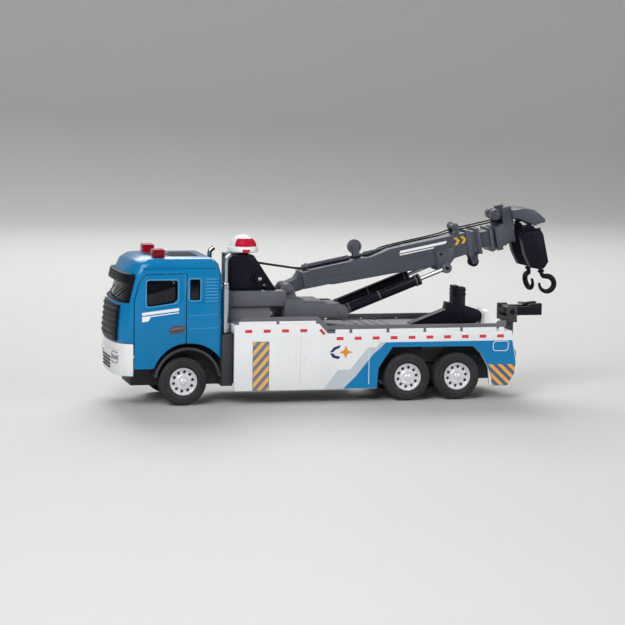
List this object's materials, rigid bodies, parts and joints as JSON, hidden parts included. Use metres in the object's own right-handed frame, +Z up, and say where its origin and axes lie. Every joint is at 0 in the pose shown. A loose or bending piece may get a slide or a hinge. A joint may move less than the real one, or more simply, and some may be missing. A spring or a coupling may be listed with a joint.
{
  "type": "toy tow truck",
  "caption": "Toy recovery lorry with opening cab doors, a slewing, luffing and telescoping boom, winches with hooks, and a folding underlift.",
  "frame": {"origin": "centre of the footprint's bounding box, on the ground", "axes": "+X towards the rear of the truck, -Y its left side, +Z up"},
  "size_m": [0.2561, 0.06, 0.1061],
  "materials": {
    "cab_blue": "gloss",
    "body_white": "satin",
    "chassis_black": "moulded",
    "gear_black": "satin",
    "boom_slate": "satin",
    "deck_grey": "satin",
    "rim_silver": "metallic paint",
    "bright_plastic": "vacuum plated",
    "steel": "drawn wire",
    "tyre_rubber": "matt",
    "smoked_glazing": "gloss",
    "lamp_red": "translucent gloss",
    "gear_nylon": "natural",
    "module_case": "satin"
  },
  "bodies": {
    "truck": {"chassis": "chassis_black", "drive_casing": "chassis_black", "cab_shell": "cab_blue", "cab_glazing": "smoked_glazing", "cab_interior": "gear_black", "bumper": "body_white", "grille": "gear_black", "sun_visor": "gear_black", "roof_beacons": "lamp_red", "exhaust_stacks": "bright_plastic", "body_shell": "body_white", "deck": "deck_grey", "sound_module": "module_case", "rear_mast": "gear_black"},
    "front_wheels": {"front_axle": "steel", "front_rim_left": "rim_silver", "front_rim_right": "rim_silver", "front_tyre_left": "tyre_rubber", "front_tyre_right": "tyre_rubber"},
    "middle_wheels": {"middle_axle": "steel", "middle_rim_left": "rim_silver", "middle_rim_right": "rim_silver", "middle_tyre_left": "tyre_rubber", "middle_tyre_right": "tyre_rubber", "drive_gear": "gear_nylon"},
    "rear_wheels": {"rear_axle": "steel", "rear_rim_left": "rim_silver", "rear_rim_right": "rim_silver", "rear_tyre_left": "tyre_rubber", "rear_tyre_right": "tyre_rubber"},
    "flywheel": {"flywheel": "steel"},
    "door_left": {"cab_door_left": "cab_blue", "door_glass_left": "smoked_glazing"},
    "door_right": {"cab_door_right": "cab_blue", "door_glass_right": "smoked_glazing"},
    "superstructure": {"slewing_frame": "deck_grey", "winch_tower": "gear_black"},
    "drum_left": {"winch_drum_left": "gear_black"},
    "drum_right": {"winch_drum_right": "gear_black"},
    "light_button": {"light_button": "body_white"},
    "boom": {"boom_main": "boom_slate", "winch_rope_left": "gear_black", "winch_rope_right": "gear_black"},
    "inner_boom": {"inner_boom": "boom_slate"},
    "boom_head": {"boom_head": "boom_slate"},
    "ring_pulley": {"ring_pulley": "boom_slate"},
    "snatch_pulley": {"snatch_pulley": "gear_black"},
    "head_roller": {"head_roller": "boom_slate"},
    "ram_barrel_left": {"ram_barrel_left": "gear_black"},
    "ram_barrel_right": {"ram_barrel_right": "gear_black"},
    "ram_rod_left": {"ram_rod_left": "bright_plastic"},
    "ram_rod_right": {"ram_rod_right": "bright_plastic"},
    "rope_guide_left": {"rope_guide_left": "gear_black"},
    "rope_guide_right": {"rope_guide_right": "gear_black"},
    "hook_block_left": {"hook_block_left": "gear_black"},
    "hook_block_right": {"hook_block_right": "gear_black"},
    "hook_left": {"hook_left": "gear_black"},
    "hook_right": {"hook_right": "gear_black"},
    "underlift_arm": {"underlift_arm": "chassis_black"},
    "tow_fork": {"tow_fork": "gear_black"}
  },
  "joints": [
    {"name": "front_wheels_roll", "type": "hinge", "parent": "truck", "child": "front_wheels", "pos_m": [-0.09, 0, 0.013], "axis": [0, 1, 0], "continuous": true},
    {"name": "middle_wheels_roll", "type": "hinge", "parent": "truck", "child": "middle_wheels", "pos_m": [0.0362, 0, 0.013], "axis": [0, 1, 0], "continuous": true},
    {"name": "rear_wheels_roll", "type": "hinge", "parent": "truck", "child": "rear_wheels", "pos_m": [0.0648, 0, 0.013], "axis": [0, 1, 0], "continuous": true},
    {"name": "flywheel_spin", "type": "hinge", "parent": "truck", "child": "flywheel", "pos_m": [0.0423, 0, 0.013], "axis": [0, 1, 0], "continuous": true},
    {"name": "door_left_open", "type": "hinge", "parent": "truck", "child": "door_left", "pos_m": [-0.117, -0.029, 0.045], "axis": [0, 0, -1], "range_deg": [0, 60]},
    {"name": "door_right_open", "type": "hinge", "parent": "truck", "child": "door_right", "pos_m": [-0.117, 0.029, 0.045], "axis": [0, 0, 1], "range_deg": [0, 60]},
    {"name": "slew", "type": "hinge", "parent": "truck", "child": "superstructure", "pos_m": [-0.0145, 0, 0.045], "axis": [0, 0, 1], "range_deg": [-90, 90]},
    {"name": "light_button_press", "type": "slide", "parent": "superstructure", "child": "light_button", "axis": [0, 0, -1], "range_m": [0, 0.001], "stiffness_N_per_m": 150},
    {"name": "boom_luff", "type": "hinge", "parent": "superstructure", "child": "boom", "pos_m": [-0.0275, 0, 0.0605], "axis": [0, -1, 0], "range_deg": [0, 30], "deforming": ["winch_rope_left", "winch_rope_right"]},
    {"name": "telescope_inner", "type": "slide", "parent": "boom", "child": "inner_boom", "axis": [0.9806, 0, 0.1959], "range_m": [0, 0.03], "deforming": ["winch_rope_left", "winch_rope_right"]},
    {"name": "telescope_head", "type": "slide", "parent": "inner_boom", "child": "boom_head", "axis": [0.9806, 0, 0.1959], "range_m": [0, 0.03], "deforming": ["winch_rope_left", "winch_rope_right"]},
    {"name": "ring_pulley_spin", "type": "hinge", "parent": "boom", "child": "ring_pulley", "pos_m": [0.012, 0, 0.08328], "axis": [0, 1, 0], "continuous": true},
    {"name": "snatch_pulley_spin", "type": "hinge", "parent": "boom", "child": "snatch_pulley", "pos_m": [0.0817, 0, 0.07437], "axis": [0, 1, 0], "continuous": true},
    {"name": "head_roller_spin", "type": "hinge", "parent": "boom_head", "child": "head_roller", "pos_m": [0.09296, 0, 0.10119], "axis": [0, 1, 0], "continuous": true},
    {"name": "winch_left", "type": "hinge", "parent": "superstructure", "child": "drum_left", "pos_m": [-0.045, 0, 0.067], "axis": [0, 1, 0], "range_deg": [0, 766]},
    {"name": "ram_left_tilt", "type": "hinge", "parent": "superstructure", "child": "ram_barrel_left", "pos_m": [0.0005, -0.0126, 0.048], "axis": [0, -1, 0], "range_deg": [0, 36.7]},
    {"name": "ram_left_stroke", "type": "slide", "parent": "ram_barrel_left", "child": "ram_rod_left", "axis": [0.9325, 0, 0.3612], "range_m": [0, 0.0138]},
    {"name": "hook_line_left_swing", "type": "hinge", "parent": "boom_head", "child": "rope_guide_left", "pos_m": [0.11057, -0.011, 0.09676], "axis": [0, 1, 0], "range_deg": [-20, 50], "deforming": ["winch_rope_left"]},
    {"name": "hook_left_hoist", "type": "slide", "parent": "rope_guide_left", "child": "hook_block_left", "axis": [0.1959, 0, -0.9806], "range_m": [0, 0.04], "deforming": ["winch_rope_left"]},
    {"name": "hook_left_swivel", "type": "hinge", "parent": "hook_block_left", "child": "hook_left", "pos_m": [0.11822, -0.011, 0.07075], "axis": [0.1959, 0, -0.9806], "continuous": true},
    {"name": "winch_right", "type": "hinge", "parent": "superstructure", "child": "drum_right", "pos_m": [-0.045, 0, 0.067], "axis": [0, 1, 0], "range_deg": [0, 766]},
    {"name": "ram_right_tilt", "type": "hinge", "parent": "superstructure", "child": "ram_barrel_right", "pos_m": [0.0005, 0.0126, 0.048], "axis": [0, -1, 0], "range_deg": [0, 36.7]},
    {"name": "ram_right_stroke", "type": "slide", "parent": "ram_barrel_right", "child": "ram_rod_right", "axis": [0.9325, 0, 0.3612], "range_m": [0, 0.0138]},
    {"name": "hook_line_right_swing", "type": "hinge", "parent": "boom_head", "child": "rope_guide_right", "pos_m": [0.11057, 0.011, 0.09676], "axis": [0, 1, 0], "range_deg": [-20, 50], "deforming": ["winch_rope_right"]},
    {"name": "hook_right_hoist", "type": "slide", "parent": "rope_guide_right", "child": "hook_block_right", "axis": [0.1959, 0, -0.9806], "range_m": [0, 0.04], "deforming": ["winch_rope_right"]},
    {"name": "hook_right_swivel", "type": "hinge", "parent": "hook_block_right", "child": "hook_right", "pos_m": [0.11822, 0.011, 0.07075], "axis": [0.1959, 0, -0.9806], "continuous": true},
    {"name": "underlift_fold", "type": "hinge", "parent": "truck", "child": "underlift_arm", "pos_m": [0.1025, 0, 0.0225], "axis": [0, 1, 0], "range_deg": [0, 90]},
    {"name": "tow_fork_tilt", "type": "hinge", "parent": "underlift_arm", "child": "tow_fork", "pos_m": [0.1025, 0, 0.0464], "axis": [0, 1, 0], "range_deg": [-90, 0]}
  ],
  "couplings": [
    {"joint": "flywheel_spin", "follows": "middle_wheels_roll", "ratio": -2},
    {"joint": "ram_left_tilt", "follows": "boom_luff", "ratio": 1.2201},
    {"joint": "ram_left_stroke", "follows": "boom_luff", "m_per_rad": 0.026076},
    {"joint": "winch_left", "follows": "hook_left_hoist", "rad_per_m": 333.33},
    {"joint": "ram_right_tilt", "follows": "boom_luff", "ratio": 1.2201},
    {"joint": "ram_right_stroke", "follows": "boom_luff", "m_per_rad": 0.026076},
    {"joint": "winch_right", "follows": "hook_right_hoist", "rad_per_m": 333.33}
  ]
}
